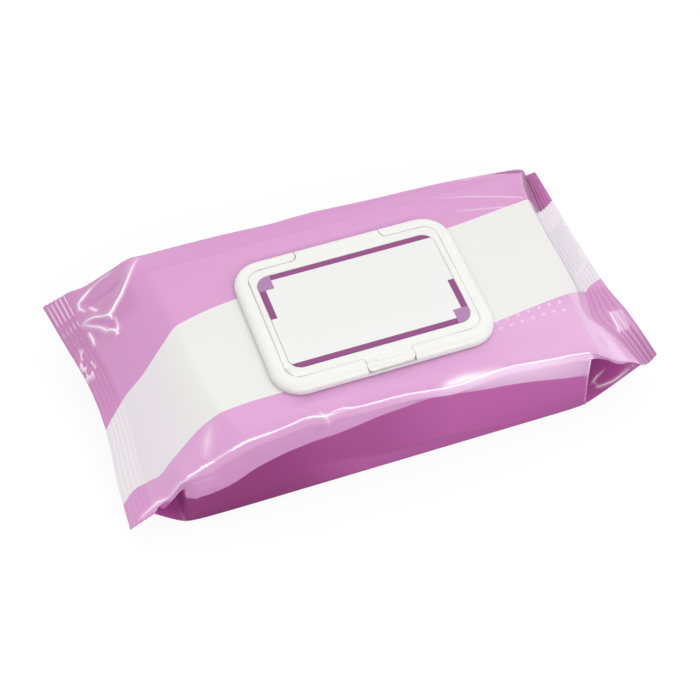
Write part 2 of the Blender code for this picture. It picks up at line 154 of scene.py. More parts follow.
def rising(values, start, end):
    """Eased share of the way that values have gone from start to end, where end may be the lower."""
    return eased((values - start) / (end - start))


def smooth_through(positions, values, at):
    """Cubic curve through values at rising positions, read at other positions (Hermite, mean slopes)."""
    positions, values = np.asarray(positions, float), np.asarray(values, float)
    slopes = np.gradient(values, positions)
    at = np.clip(at, positions[0], positions[-1])
    index = np.clip(np.searchsorted(positions, at) - 1, 0, len(positions) - 2)
    span = positions[index + 1] - positions[index]
    t = (at - positions[index]) / span
    start, end = values[index], values[index + 1]
    rise, fall = slopes[index] * span, slopes[index + 1] * span
    return (
        start * (1 + 2 * t) * (1 - t) ** 2
        + rise * t * (1 - t) ** 2
        + end * t**2 * (3 - 2 * t)
        + fall * t**2 * (t - 1)
    )


def filleted_sections(corners, radii, arc_steps, run_steps):
    """Section outlines with rounded corners, for all stations at once.

    Each corner's arc has its centre on the corner's bisector, a radius over the sine of the half angle
    away. Its points turn evenly about that centre, and straight runs join one arc to the next. The
    second array says where each column is: a whole number on a corner, a fraction on the run after it.
    """
    before = np.roll(corners, 1, axis=1) - corners
    after = np.roll(corners, -1, axis=1) - corners
    before /= np.linalg.norm(before, axis=2, keepdims=True)
    after /= np.linalg.norm(after, axis=2, keepdims=True)
    half = np.arccos(np.clip((before * after).sum(axis=2), -1, 1))[..., None] / 2
    bisector = before + after
    bisector /= np.maximum(np.linalg.norm(bisector, axis=2, keepdims=True), 1e-9)
    centre = corners + bisector * radii[..., None] / np.sin(half)
    start = corners + before * radii[..., None] / np.tan(half) - centre
    end = corners + after * radii[..., None] / np.tan(half) - centre
    cross = start[..., 0] * end[..., 1] - start[..., 1] * end[..., 0]
    sweep = np.arctan2(cross, (start * end).sum(axis=2))
    columns, places = [], []
    total = corners.shape[1]
    for index in range(total):
        turn = sweep[:, index, None] * np.linspace(0, 1, arc_steps[index] + 1)
        cos, sin = np.cos(turn), np.sin(turn)
        x, y = start[:, index, 0, None], start[:, index, 1, None]
        arc = np.stack([x * cos - y * sin, x * sin + y * cos], axis=2) + centre[:, index, None]
        following = (index + 1) % total
        run_start = centre[:, index] + end[:, index]
        run_end = centre[:, following] + start[:, following]
        share = np.linspace(0, 1, run_steps[index] + 1)[1:-1]
        run = run_start[:, None] + (run_end - run_start)[:, None] * share[None, :, None]
        columns += [arc, run]
        places += [np.full(arc.shape[1], float(index)), index + share]
    return np.concatenate(columns, axis=1), np.concatenate(places)


def bent_path(start, edge, end, sharpness, t):
    """Rational quadratic curve from start past edge to end; a high sharpness draws it into the edge."""
    weights = [(1 - t) ** 2, 2 * sharpness * t * (1 - t), t**2]
    return sum(w * p for w, p in zip(weights, (start, edge, end))) / sum(weights)


def end_rows(end, t, across):
    """Rings of one end: t runs from the body to the weld's inner edge, across from there outwards.

    The section's corners move in straight lines towards the weld's two corners, while the wall's
    middle is drawn inwards by the tuck. Each point then keeps its share of the height between the
    floor film's path and the upper film's, both bent paths from the body to the weld. Beyond the
    weld's inner edge the film runs straight out, plus a sine for the ribs and a half sine for a curl.
    """
    corners = np.repeat(SECTION[None], len(t), axis=0)
    radii = corners[:, :, 2] * (1 - 0.85 * t[:, None] ** 1.5)
    corners = corners[:, :, :2].copy()
    into = np.clip((t - end["tuck_start"]) / (1 - end["tuck_start"]), 0, 1)
    tuck = TUCK_DEPTH * (1 - (1 - np.minimum(into / TUCK_RUN, 1)) ** 2) * (1 - into**9)
    radii[:, BACK_TUCK:] *= 1 - 0.88 * eased(into[:, None] / TUCK_MOUTH)
    front, back = end["y"][0], end["y"][-1]
    for index, goal in ((CREASE, front), (BACK_CREASE, back), (BACK_FLOOR, back), (FRONT_FLOOR, front)):
        corners[:, index, 0] += (goal - corners[:, index, 0]) * t
    corners[:, BACK_TUCK, 0] += (back - corners[:, BACK_TUCK, 0]) * t - tuck
    corners[:, FRONT_TUCK, 0] += (front - corners[:, FRONT_TUCK, 0]) * t + tuck
    crease, tucked = corners[:, CREASE], corners[:, FRONT_TUCK]
    along = (crease[:, 1] - SECTION[KNEE, 1]) / (crease[:, 1] - tucked[:, 1])
    straight = crease[:, 0] + (tucked[:, 0] - crease[:, 0]) * along
    rest = SECTION[CREASE, 0] + (SECTION[FRONT_TUCK, 0] - SECTION[CREASE, 0]) * along
    corners[:, KNEE, 0] = straight + (SECTION[KNEE, 0] - rest) * (1 - t) ** 3
    section, places = filleted_sections(corners, radii, ARC_STEPS, RUN_STEPS)
    y, level = section[..., 0], section[..., 1] / BODY_TOP
    t, across = t[:, None], across[:, None]
    read = {key: smooth_through(end["y"], row, y) for key, row in end.items() if isinstance(row, tuple)}
    top_x = bent_path(read["start_x"], read["edge_x"], read["inner_x"], read["sharpness"], t)
    top_z = bent_path(read["start_z"], read["edge_z"], read["inner_z"], read["sharpness"], t)
    top_z += FILM / 2 * t
    floor_x = bent_path(read["start_x"], end["floor_x"], read["inner_x"], FLOOR_SHARPNESS, t)
    floor_z = bent_path(0.0, 0.0, read["inner_z"] - FILM / 2, FLOOR_SHARPNESS, t)
    faint = 0.5 * rising(y, 16, 4) * (end["side"] < 0)
    rib = RIB_HEIGHT * (1 - faint) * np.sin(across * SEAL_RIBS * 2 * math.pi) * (across > 0)
    curl = read["curl"] * np.sin(across * math.pi)
    x = floor_x + (top_x - floor_x) * level + (read["outer_x"] - read["inner_x"]) * across
    z = floor_z + (top_z - floor_z) * level + (read["outer_z"] - read["inner_z"]) * across - curl + rib
    return np.stack([end["side"] * x, y, z], axis=2), places


def pulled(grid, weights, column, rail, strength):
    """Move one corner of every section onto its rail, and its neighbours by their weights."""
    x = grid[:, column, 0]
    goal = np.stack([smooth_through(rail[:, 0], rail[:, axis], x) for axis in (1, 2)], axis=1)
    shift = (goal - grid[:, column, 1:]) * strength[:, None]
    grid[..., 1:] += shift[:, None] * weights[None, :, None]


def film_grid():
    """All rings of the bag from the left weld's outer edge to the right one's, as a grid of points.

    Both ends are joined by straight lines along the body. Then the three long creases are pulled onto
    their rails, and the loose flap's lower edge to its depth below the front crease. With the grid
    come each column's place on the section, each ring's share of the way out from the body to the
    weld, and the share at which its tuck starts.
    """
    share = np.linspace(0, 1, FLAP_ROWS + 1)
    t = np.concatenate([share, np.ones(SEAL_ROWS)])
    across = np.concatenate([np.zeros(FLAP_ROWS + 1), np.arange(1, SEAL_ROWS + 1) / SEAL_ROWS])
    left, places = end_rows(LEFT, t, across)
    right, _ = end_rows(RIGHT, t, across)
    share = np.linspace(0, 1, BODY_ROWS + 1)[1:-1, None, None]
    middle = left[0] + (right[0] - left[0]) * share
    grid = np.concatenate([left[::-1], middle, right])
    t = np.concatenate([t[::-1], np.zeros(BODY_ROWS - 1), t])
    tuck_start = np.where(grid[:, 0, 0] < 0, LEFT["tuck_start"], RIGHT["tuck_start"])
    crease_column = ARC_STEPS[CREASE] // 2
    knee_column = np.flatnonzero(places == KNEE)[ARC_STEPS[KNEE] // 2]
    back_column = np.flatnonzero(places == BACK_CREASE)[ARC_STEPS[BACK_CREASE] // 2]

    ahead = np.where(places >= KNEE, places - len(SECTION), places)
    near_crease = np.where(ahead < 0, 1 + ahead, eased(1 - ahead))
    near_knee = np.clip(1 - abs(places - KNEE), 0, 1)
    towards = np.clip(places - TOP_BACK, 0, 1)
    beyond = np.clip((4.8 - places) / 1.8, 0, 1)
    near_back = np.where(places < BACK_CREASE, (towards + eased(towards)) / 2, beyond)
    held = rising(t, 1, 5 / 6)
    pulled(grid, near_crease, crease_column, CREASE_RAIL, held)
    pulled(grid, near_knee, knee_column, KNEE_RAIL, (1 - t) ** 2)
    pulled(grid, near_back, back_column, BACK_RAIL, held)

    hang = rising(t, tuck_start - 0.14, tuck_start) * rising(t, 1, 0.9)
    goal = grid[:, crease_column, 1:].copy()
    goal[:, 0] -= LIP_BEYOND
    goal[:, 1] -= smooth_through(LIP[:, 0], LIP[:, 1], grid[:, 0, 0])
    shift = (goal - grid[:, knee_column, 1:]) * hang[:, None]
    grid[..., 1:] += shift[:, None] * near_knee[None, :, None]
    return grid, places, t[:, None], tuck_start[:, None]


def zipped(upper, lower, positions):
    """Triangles between two rows of point numbers that run the same way, matched by their positions.

    Each step of the upper row is joined to the lower point beside its middle, and each step of the
    lower row to the upper point at which that lower point changes.
    """
    middles = (positions[upper[:-1]] + positions[upper[1:]]) / 2
    match = np.searchsorted(np.maximum.accumulate(positions[lower[1:]]), middles)
    match = np.maximum.accumulate(match)
    turn = np.searchsorted(match, np.arange(len(lower) - 1), side="right")
    hanging = np.stack([upper[1:], upper[:-1], lower[match]], axis=1)
    standing = np.stack([lower[:-1], lower[1:], upper[turn]], axis=1)
    return np.concatenate([hanging, standing])


def add_object(name, points, faces):
    """A new mesh object from points in millimetres and faces as lists of point numbers."""
    mesh = bpy.data.meshes.new(name)
    mesh.from_pydata((points * MM).tolist(), [], faces)
    item = bpy.data.objects.new(name, mesh)
    bpy.context.scene.collection.objects.link(item)
    return item


def add_bag(name, grid, places):
    """The bag from its grid: quads between neighbouring rings, with a flat strip to close each end."""
    rows, columns = grid.shape[:2]
    index = np.arange(rows * columns).reshape(rows, columns)
    around = np.roll(index, -1, axis=1)
    quads = np.stack([index[:-1], index[1:], around[1:], around[:-1]], axis=2).reshape(-1, 4)
    front = np.flatnonzero(places == FRONT_TUCK)[0]
    back = np.flatnonzero(places == BACK_TUCK)[0]
    upper = np.r_[front:columns, 0 : back + 1]
    lower = np.arange(front, back - 1, -1)
    right = index[-1][zipped(upper, lower, grid[-1, :, 1])]
    left = index[0][zipped(upper, lower, grid[0, :, 1])][:, ::-1]
    item = add_object(name, grid.reshape(-1, 3), quads.tolist() + right.tolist() + left.tolist())
    smooth = np.arange(len(item.data.polygons)) < len(quads)
    item.data.polygons.foreach_set("use_smooth", smooth)
    return item


def outward(grid):
    """Unit normals of a grid of rings: the step along the bag crossed with the step round it."""
    along = np.gradient(grid, axis=0)
    around = np.roll(grid, -1, axis=1) - np.roll(grid, 1, axis=1)
    normal = np.cross(along, around)
    return normal / np.maximum(np.linalg.norm(normal, axis=2, keepdims=True), 1e-9)


def wander(u, v, seed):
    """Smooth uneven height between -1 and 1: random values on a square lattice, eased in between."""
    size = 97
    table = np.random.default_rng(seed).uniform(-1, 1, (size, size))
    column, row = np.floor(u).astype(int), np.floor(v).astype(int)
    x, y = eased(u - column), eased(v - row)
    left, right, low, high = column % size, (column + 1) % size, row % size, (row + 1) % size
    below = table[low, left] * (1 - x) + table[low, right] * x
    above = table[high, left] * (1 - x) + table[high, right] * x
    return below * (1 - y) + above * y


def nearest_on(line, plan):
    """Distance from a line of x, y and height, the side as a sign, and the nearest place's height."""
    line = np.asarray(line, float)
    start, step = line[:-1, :2], np.diff(line[:, :2], axis=0)
    offset = plan[..., None, :] - start
    share = np.clip((offset * step).sum(axis=-1) / (step**2).sum(axis=-1), 0, 1)
    distance = np.linalg.norm(offset - share[..., None] * step, axis=-1)
    side = np.sign(offset[..., 0] * step[:, 1] - offset[..., 1] * step[:, 0])
    height = line[:-1, 2] + share * np.diff(line[:, 2])
    nearest = distance.argmin(axis=-1)[..., None]
    return [np.take_along_axis(values, nearest, axis=-1)[..., 0] for values in (distance, side, height)]


def fold(line, reach, plan):
    """Height of a fold that follows a line of x, y and height, dying out with the distance from it.

    At a point, the height is the one at the nearest place on the line, times e to the power of minus
    the distance over the reach. The ridge itself is rounded over a third of a millimetre.
    """
    rounded = 0.35
    distance, _, height = nearest_on(line, plan)
    return height * np.exp(rounded / reach - np.hypot(distance, rounded) / reach)


# Folds of the upper film, each a line of x, y and height with its reach
FOLDS = (
    (((-83, 59, 0.0), (-86, 56, 1.6), (-94.4, 42.9, 3.6), (-99.5, 38.6, 3.6), (-103.3, 36.0, 3.4),
      (-106.8, 37.0, 3.0), (-111.1, 40.8, 2.2), (-116, 42.6, 0.6)), 2.6),
    (((-116, 42, 0.6), (-112.5, 37.2, 1.4), (-107, 31.8, 1.8), (-103.2, 27.6, 2.4), (-101.5, 25.2, 0.0)),
     1.8),
    (((-116, 38, 0.2), (-115, 34, 1.2), (-114.2, 30, 1.0), (-113, 25, 0.0)), 1.4),
    (((-94, 58.5, 0.0), (-102.5, 57.8, 1.3), (-108.5, 56.6, 1.8), (-113.5, 54.2, 1.8),
      (-115.3, 51.5, 1.5), (-114.3, 48.2, 1.2), (-113, 46.5, 0.0)), 1.6),
    (((-90, 52, 0.0), (-99, 49, -1.6), (-109, 49, -1.4), (-117, 52, 0.0)), 4.0),
    (((-111, 33, 0.0), (-107, 31, -1.2), (-103, 32, -0.8), (-99, 34, 0.0)), 1.6),
    (((8, 42, 0.0), (17.9, 45.6, 0.7), (47.5, 48.1, 0.8), (80.5, 40.9, 0.7), (96.5, 33.9, 0.0)), 1.6),
    (((8, 39, 0.0), (16.5, 41.7, -0.5), (53.7, 37.4, -0.55), (90.8, 29.1, 0.0)), 1.8),
    (((3.5, 56, 0.8), (5.9, 47.5, 0.8), (8.3, 39, 0.0)), 1.3),
    (((-10, 41, 0.0), (0, 45, 0.7), (8, 48, 0.8), (17, 54, 0.0)), 1.3),
    (((-34, -45, 0.0), (-33, -51, 0.5), (-31, -57, 1.2), (-29.5, -58.5, 0.5)), 1.4),
    (((-48, -52, 0.0), (-40, -54.5, 0.5), (-31, -57, 1.0), (-22, -54.5, 0.5), (-14, -53, 0.0)), 1.4),
    (((-78.4, -44.8, 0.0), (-83, -49.4, 0.7), (-87.6, -54, 0.6), (-89, -57, 0.0)), 2.2),
    (((-88, -44, 0.0), (-93, -50, 0.6), (-99, -56, 0.5), (-101, -58, 0.0)), 2.0),
)
# Creases of the front wall, each a line of x, z and height with its reach
WALL_FOLDS = (
    (((-20, 14.5, 0.0), (-8.4, 13.8, 0.45), (23.5, 12.6, 0.5), (64.1, 5.6, 0.45), (78, 3.8, 0.0)), 1.6),
    (((94.4, 41, 0.6), (95.4, 22, 0.55), (97.0, 3, 0.5)), 0.8),
    (((-90, 26, 0.0), (-93, 18, 0.6), (-95.5, 12, 0.8), (-97, 3, 0.3)), 1.6),
    (((-84, 33, 0.3), (-86, 25, 0.7), (-90, 14, 0.0)), 1.8),
    (((-70, 40, 0.0), (-72, 32, 0.5), (-76, 20, 0.0)), 2.2),
    (((-31, 45, 0.6), (-30, 38, 0.4), (-27, 31, 0.0)), 1.8),
    (((24, 43.5, 0.5), (30, 40, 0.7), (44, 38, 0.3), (56, 38, 0.0)), 2.2),
)

grid, places, flap_share, tuck_start = film_grid()
normal = outward(grid)
x, y, z = grid[..., 0], grid[..., 1], grid[..., 2]
plan, front_view = grid[..., :2], grid[..., ::2]
leftward, rightward = x < 0, x > 0
upper_film = places < BACK_CREASE + 0.5
weld = flap_share >= 1
upper_weld = weld & upper_film

# Heights over the smooth bag: folds and slack on the upper film and the front wall, a crimped patch
# in the left weld, and a low ridge in the right one where the seam underneath shows through
slack = eased(flap_share)
top_height = sum(fold(line, reach, plan) for line, reach in FOLDS)
top_height += (0.12 + 0.35 * slack) * wander(x / 17, y / 23, 1)
top_height += (0.3 + slack) * 0.1 * wander(x / 9 + 40, y / 11, 2)
upper = rising(places, BACK_CREASE + 0.3, BACK_CREASE) + (places > KNEE + 0.6)
top_height *= upper * ~weld
wall = (places > FRONT_FLOOR + 0.3) & (flap_share < 0.55)
wall_height = sum(fold(line, reach, front_view) for line, reach in WALL_FOLDS) * wall
near_knee = np.clip(1 - abs(places - KNEE) * 1.6, 0, 1)
wall_height += near_knee * 0.4 * wander(x / 21, z / 16, 3) * (1 - slack)
crimp = (flap_share >= 0.97) & upper_film & leftward
crimp = crimp * rising(y, 14, 20) * rising(y, 46, 38)
ridge = rising(x, 121.2, 121.7) * rising(x, 127.5, 127.0)
ridge *= rising(y, -43.3, -42.6) * rising(y, -32, -32.7) * upper_weld
weld_height = 0.1 * ridge + 0.15 * crimp * wander(x / 1.9, y / 2.2, 4)
grid += normal * (top_height + wall_height + weld_height)[..., None]
film = add_bag("film_bag", grid, places)

# The print: a white band that crosses the pack, its edges as x and y seen from above
BAND_BACK = np.array((
    (-132, -20.0), (-121, -10.7), (-115.8, -6.7), (-108.9, -2.6), (-98.5, 0.5), (-90.3, 4.9),
    (-85, 8.2), (-80.8, 11.2), (-73.9, 13.6), (-65.6, 15.7), (-47, 18.4), (0, 23.0), (60.6, 26.1),
    (88.7, 29.1), (102.6, 31.0), (117.9, 37.5), (123.2, 41.8), (132, 49.0),
))
BAND_FRONT = np.array((
    (-132, -53.0), (-124, -49.0), (-117.5, -45.6), (-110.8, -46.4), (-106.1, -48.2), (-99.9, -46.9),
    (-93.9, -45.1), (-85.9, -42.6), (-71.8, -40.6), (-59.7, -39.6), (-42, -39.5), (0, -38.5),
    (58.7, -34.5), (72.8, -32.7), (88.8, -30.6), (105.2, -25.5), (107.9, -24.0), (118.2, -15.7),
    (124.6, -12.3), (132, -8.0),
))
# How much painted reflection lightens the upper part of the front, and how much painted shade
# darkens the wall's left part, as x and share
FRONT_REFLECTION = np.array((
    (-105, 0.10), (-60, 0.12), (-20, 0.2), (10, 0.35), (30, 0.55), (45, 0.74), (60, 0.88), (80, 0.79),
    (97, 0.52),
))
FRONT_SHADE = np.array((
    (-100, 0.68), (-75, 0.71), (-50, 0.63), (-28, 0.42), (-7, 0.34), (12, 0.16), (30, 0.0),
))
INK_EDGE = 0.9


def along_bag(table, column=1):
    """A table's values over x, read at every point of the bag."""
    return smooth_through(table[:, 0], table[:, column], x)


def strongest(*shares):
    """The largest of several shares at every point."""
    return np.max(np.broadcast_arrays(*shares), axis=0)


def below(height):
    """1 under a height and 0 over it, with an edge of soft ink between them."""
    return rising(z, height + INK_EDGE / 2, height - INK_EDGE / 2)


outside = (places > FRONT_FLOOR - 0.4) | (np.arange(len(places)) < ARC_STEPS[CREASE] // 2)
on_top = (places < TOP_BACK) | (places > KNEE + 0.9)
front_sheets = places > FRONT_FLOOR - 0.1
tucked = front_sheets & (places < KNEE - 0.05)
knee = along_bag(KNEE_RAIL, 2)
inward = rising(flap_share, tuck_start, tuck_start + 0.02)

# The welds' ribs, counted in rows from the inner edge outwards, with a share of 1 in each groove
row = np.arange(len(x))[:, None]
rows_out = np.maximum(SEAL_ROWS - row, row - (len(x) - 1 - SEAL_ROWS)).clip(0)
groove = weld * (0.5 - 0.5 * np.sin(rows_out / SEAL_ROWS * SEAL_RIBS * 2 * math.pi))
left_groove, right_groove = groove * leftward, groove * rightward

band = np.minimum(along_bag(BAND_BACK) - y, y - along_bag(BAND_FRONT))
band = np.where(weld | upper_film, band, -20)

# Deep ink: the front wall below its knee, the tucks, the back wall's foot, and a share of it on the
# floor and the welds; at the right weld's back corner it is painted shade
wall_foot = below(knee) * front_sheets * np.where(places > KNEE + 0.5, rising(places, 9, 8.7), 1)
back_foot = below(33 + 4 * np.sin(x / 45 + 1)) * (places > BACK_CREASE) * (places < BACK_FLOOR)
# The right weld's back corner takes the deep ink as painted shade
turned_down = 108 + 4 * rising(y, 36, 46)
shaded_back_corner = rising(x, turned_down, turned_down + 4) * rising(y, 18, 26)
floor_share = 0.4 * (places >= BACK_FLOOR) * (places < FRONT_FLOOR)
deep = strongest(wall_foot, inward * tucked, back_foot, floor_share, shaded_back_corner, 0.25 * weld)

# Painted light: a painted reflection on the front above its knee, more of it towards the crease;
# painted sheen on the top, its front edge and the steep film beside the right weld; painted light on
# the roll of the back crease and on the right weld's middle
crest = along_bag(CREASE_RAIL, 2)
depth = np.clip((z - knee) / np.maximum(crest - knee, 1), 0, 1)
light = strongest(
    (1 - below(knee)) * outside * along_bag(FRONT_REFLECTION) * (0.55 + 0.6 * depth) * (1 - inward),
    0.07 * on_top * rising(flap_share, 0.2, 0),
    (0.15 + 0.14 * rising(x, 20, 80)) * rising(y, -15, -40) * on_top,
    (0.42 + 0.2 * rising(x, 104, 112)) * rising(x, 95, 103) * rising(y, -14, -30) * on_top * ~weld,
    0.9 * rising(normal[..., 1], 0.2, 0.65) * rising(z, 39, 43) * rising(x, -20, 20) * (places < 4) * ~weld,
    0.14 * weld * rising(y, 0, -3) * rising(y, -50, -42) * rightward,
)

# Painted shade: on the front wall's left part, in the tucks, in the grooves of both welds, most of
# all at the right weld's corners, and on the back of the left flap
foot = 9 - x / 8
shade = along_bag(FRONT_SHADE) * strongest(rising(z, foot, foot + 6), rising(x, -5, -45))
back_weld = rightward * rising(y, 18, 26) * (1.5 - 1.1 * rising(rows_out, 8, 28))
front_weld = rightward * rising(y, -16, -20) * (1 + 0.9 * rising(y, -44, -48))
outer_grooves = rising(rows_out, 14, 18) * rising(rows_out, 31, 28) * rising(y, -40, -43)
shade = strongest(
    shade * (places > FRONT_FLOOR - 0.4) * (z < knee) * (1 - inward),
    0.1 * inward * tucked,
    (0.15 + 0.5 * groove) * back_weld * weld,
    (0.06 + 0.16 * groove) * front_weld * weld,
    0.5 * right_groove * outer_grooves,
    0.12 * left_groove * rising(y, -4, 2),
    0.14 * rising(x, -88, -94) * rising(y, 26, 36) * upper_film,
)
# The white band turns lilac towards the ends of the bag
lilac_towards_ends = np.broadcast_to(rising(flap_share, 0.1, 0.7), x.shape)

# Painted highlights along sharp creases, as thin white lines: each is a line of x, y and strength
# with its reach and its set. Each set keeps the signed distance from its nearest line, so that a line
# stays thinner than the mesh, and lines of one set are at least 4 mm apart.
SHARP = (
    (((-83, 59, 0.0), (-86.6, 54.6, 0.7), (-91.5, 47.5, 1.0), (-96.3, 41.4, 1.4), (-99.6, 38.8, 1.5),
      (-102.4, 36.4, 1.5), (-104.7, 35.3, 1.3), (-107.8, 37.2, 1.1), (-111.1, 40.0, 1.0),
      (-114.4, 41.7, 0.8), (-116.4, 42.0, 0.3)), 0.5, 0),
    (((-116.6, 41.6, 0.4), (-113.3, 36.8, 0.8), (-107.8, 31.1, 1.0), (-104.6, 27.6, 1.4),
      (-103.2, 26.0, 0.6), (-102.8, 25.4, 0.0)), 0.45, 1),
    (((-103.4, 35, 0.0), (-102.3, 33.0, 0.6), (-102.1, 30, 0.7), (-102.8, 27.5, 1.2),
      (-103.8, 26.2, 0.8)), 0.4, 2),
    (((-112, 49, 0.0), (-110.8, 47.6, 1.0), (-109.1, 44.0, 1.0), (-108.5, 42.8, 0.0)), 0.5, 2),
    (((-115.8, 36.6, 0.0), (-115.2, 34.8, 1.0), (-114.6, 32.1, 1.2), (-114.6, 29.9, 1.0),
      (-114.2, 28.0, 0.0)), 0.5, 2),
    (((-96, 60.9, 0.0), (-102.9, 59.2, 0.8), (-108.5, 57.4, 1.2), (-112.9, 54.6, 1.4),
      (-115.5, 53.2, 1.2), (-116.1, 50.5, 1.0), (-114.3, 47.8, 0.7), (-113.2, 46.5, 0.0)), 0.5, 1),
    (((60, 45.5, 0.0), (77.9, 41.0, 0.45), (101.9, 32.9, 0.5), (103, 32.5, 0.0)), 0.3, 0),
    (((66, 35.5, 0.0), (74.9, 33.5, 0.4), (91.5, 29.5, 0.4), (95, 28.5, 0.0)), 0.3, 1),
    (((-33.5, -54.2, 0.0), (-31.5, -57.4, 0.7), (-30.0, -58.8, 0.5)), 0.4, 0),
    (((121.6, -31.0, 0.0), (121.6, -32.5, 1.0), (121.7, -42.3, 1.0), (121.7, -43.6, 0.0)), 0.4, 0),
    (((123.3, -31.0, 0.0), (123.3, -32.8, 0.4), (123.3, -42.6, 0.4), (123.3, -44.0, 0.0)), 0.3, 1),
    (((124.8, -31.0, 0.0), (124.8, -33.0, 0.5), (124.8, -42.8, 0.5), (124.8, -44.0, 0.0)), 0.3, 2),
    (((126.3, -31.2, 0.0), (126.3, -33.2, 0.3), (126.3, -43.0, 0.3), (126.3, -44.4, 0.0)), 0.3, 0),
)
# Painted highlights on the creases inside the right gusset, as x, y and strength
GUSSET_SHARP = (
    (((104.2, -55.0, 0.6), (104.8, -54.8, 1.2), (106.7, -54.0, 1.2), (109.4, -53.7, 0.5)), 0.38, 0),
    (((105.6, -58.3, 0.8), (108.8, -59.5, 1.2), (112.1, -60.4, 1.2), (119.3, -60.4, 0.5)), 0.38, 1),
    (((104.7, -55.5, 0.5), (106.0, -58.4, 0.4)), 0.3, 2),
)
# Painted highlights along the front crease and the loose flap's lip, as x, y, z and strength
CREST_SHARP = (
    (((-118, -59.3, 12.9, 0.6), (-109.6, -57.7, 18.5, 0.9), (-104.1, -58.4, 20.8, 0.8),
      (-98.8, -58.1, 28.9, 0.6), (-94.1, -58.2, 31.5, 0.6), (-87.7, -57.4, 34.3, 0.6),
      (-74.3, -56.9, 41.1, 0.7), (-65.4, -56.7, 44.5, 0.6), (-55.2, -56.7, 45.4, 0.3)), 0.36, 1),
    (((-42, -56.3, 47.0, 0.0), (-36, -56.2, 47.4, 0.7), (-30, -57.8, 47.2, 1.0), (-24, -57.2, 46.6, 0.4),
      (-18, -57, 46, 0.0)), 0.5, 2),
)
# Broader glints: a fold at the front left, as x, y and strength, and one on the front crease, as
# x, y, z and strength
LEFT_GLINT = ((-78, -42, 0.0), (-82.8, -48.8, 0.45), (-85, -53, 0.2), (-86, -55, 0.0))
CREST_GLINT = (
    (22, -59.2, 45.2, 0.0), (29, -57.9, 45.0, 1.0), (36, -57.2, 44.6, 1.2), (44, -57.5, 44, 0.9),
    (55, -57.6, 44.5, 0.0),
)
LEFT_GLINT_REACH = 1.5
CREST_GLINT_REACH = 1.0
SETS = 3
FAR = 99.0
line_distance = np.full((SETS, *x.shape), FAR)
white_at = np.full((SETS, *x.shape), FAR)
white = np.zeros((SETS, *x.shape))


def paint_highlight_line(line, reach, number, view, where):
    """Put a line into a set: its distance over its reach, and its strength, which ends 2 mm away."""
    distance, side, strength = nearest_on(line, view)
    near = where & (distance < line_distance[number])
    line_distance[number][near] = distance[near]
    white_at[number][near] = (side * distance / reach)[near]
    white[number][near] = (strength * rising(distance, 2.2, 1.4))[near]


def leaning(points):
    """Points of x, y, z and perhaps strength as seen from halfway up the front: x, and (y + z) / root 2."""
    points = np.asarray(points, float)
    rise = (points[..., 1] + points[..., 2]) / math.sqrt(2)
    return np.concatenate([points[..., :1], rise[..., None], points[..., 3:]], axis=-1)


on_upper = np.broadcast_to((places < BACK_CREASE) | (places > KNEE + 0.5), x.shape)
inner_sheet = (inward > 0) & (places > FRONT_FLOOR) & (places < FRONT_TUCK)
from_front = leaning(grid)
for line, reach, number in SHARP:
    paint_highlight_line(line, reach, number, plan, on_upper)
for line, reach, number in GUSSET_SHARP:
    paint_highlight_line(line, reach, number, plan, inner_sheet)
for line, reach, number in CREST_SHARP:
    paint_highlight_line(leaning(line), reach, number, from_front, on_upper)

# The rim of the right gusset's mouth gets one more painted highlight line, in the last set
RIM_REACH = 0.012
wall_end = rightward & (places > FRONT_FLOOR + 0.3) & (places < KNEE + 0.9)
rim = flap_share - tuck_start + RIM_REACH
white_at[-1] = np.where(wall_end, rim / RIM_REACH, white_at[-1])
white[-1] = np.where(wall_end, 0.8 * rising(abs(rim), 0.1, 0.07), white[-1])

# Painted glints, and on the left weld painted glints on the crimped film and painted highlights
# along its ribs
glints = fold(LEFT_GLINT, LEFT_GLINT_REACH, plan) * upper
glints = glints + fold(leaning(CREST_GLINT), CREST_GLINT_REACH, from_front) * on_upper
crimp_glints = rising(wander(x / 0.9, y / 2.6, 5), 0.15, 0.45) * crimp * rising(y, 36, 28)
crimp_glints *= rising(rows_out, 8, 16)
rib_highlights = weld * leftward * rising(y, 34, 42) * rising(groove, 0.3, 0.05)
rib_highlights = rib_highlights * rising(wander(x / 9, y / 4, 6), -1 / 3, 1 / 3)
sharp = np.clip(strongest(glints, 0.7 * crimp_glints, 0.5 * rib_highlights), 0, 1)


def in_slanted_box(low, high, slant, edge):
    """Share from 0 to 1 of being in a box of x and y whose ends lean: y counts from slant times x."""
    along = y - slant * (x - (low[0] + high[0]) / 2)
    near = np.minimum.reduce([x - low[0], high[0] - x, along - low[1], high[1] - along])
    return eased(near / edge + 0.5)


# On the right weld the lower film's seam shows through as a grey patch, fine lines and a pale strip
grey_patch = 0.6 * in_slanted_box((112.5, -4.0), (122.5, 24.0), 0.9, 0.8)
fine_lines = 0.9 * groove * in_slanted_box((113, -17), (125, -5), 0.9, 0.8)
patch = strongest(grey_patch, fine_lines) * upper_weld
seam = 0.6 * in_slanted_box((121.4, -43.0), (127.3, -32.2), -0.15, 0.3) * upper_weld
light = strongest(light, seam)

shares = {"band": band, "deep": deep, "light": light, "shade": shade, "lilac_towards_ends": lilac_towards_ends}
shares |= {"patch": patch, "sharp": sharp}
for number in range(SETS):
    shares[f"white_at_{number}"] = white_at[number]
    shares[f"white_{number}"] = white[number]
for name, values in shares.items():
    layer = film.data.attributes.new(name, "FLOAT", "POINT")
    layer.data.foreach_set("value", np.ascontiguousarray(values, dtype=np.float32).ravel())


def linear(code):
    """A hex colour written as it looks (sRGB), as the linear values that a shader takes."""
    values = np.array([int(code[i : i + 2], 16) for i in (1, 3, 5)]) / 255
    values = np.where(values <= 0.04045, values / 12.92, ((values + 0.055) / 1.055) ** 2.4)
    return (*values.tolist(), 1.0)


